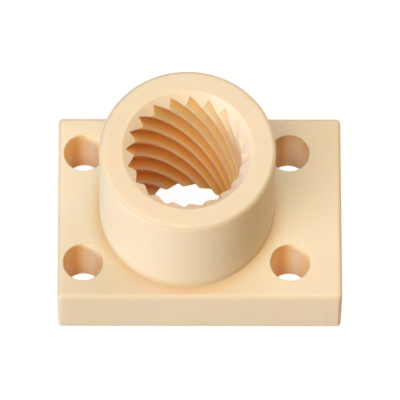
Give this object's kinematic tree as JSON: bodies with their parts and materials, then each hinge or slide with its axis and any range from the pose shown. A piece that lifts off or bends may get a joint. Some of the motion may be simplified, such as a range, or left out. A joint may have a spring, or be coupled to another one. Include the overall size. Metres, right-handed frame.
{
  "type": "lead screw nut",
  "caption": "Rectangular-flanged lead screw nut: a round barrel on an offset flange plate with corner screw holes and a steep right-hand multi-start thread through it.",
  "frame": {"origin": "on the thread's axis, in the plane of the flange plate's mounting face", "axes": "+Z along the thread's axis from the mounting face to the barrel's mouth, +X along the plate's length towards its longer end, +Y along the plate's width"},
  "size_m": [0.0456, 0.032, 0.033],
  "materials": {
    "bearing_polymer": "fine machined matte cream bearing polymer with a faint waxy sheen"
  },
  "bodies": {
    "root": {"nut_body": "bearing_polymer"}
  },
  "joints": []
}
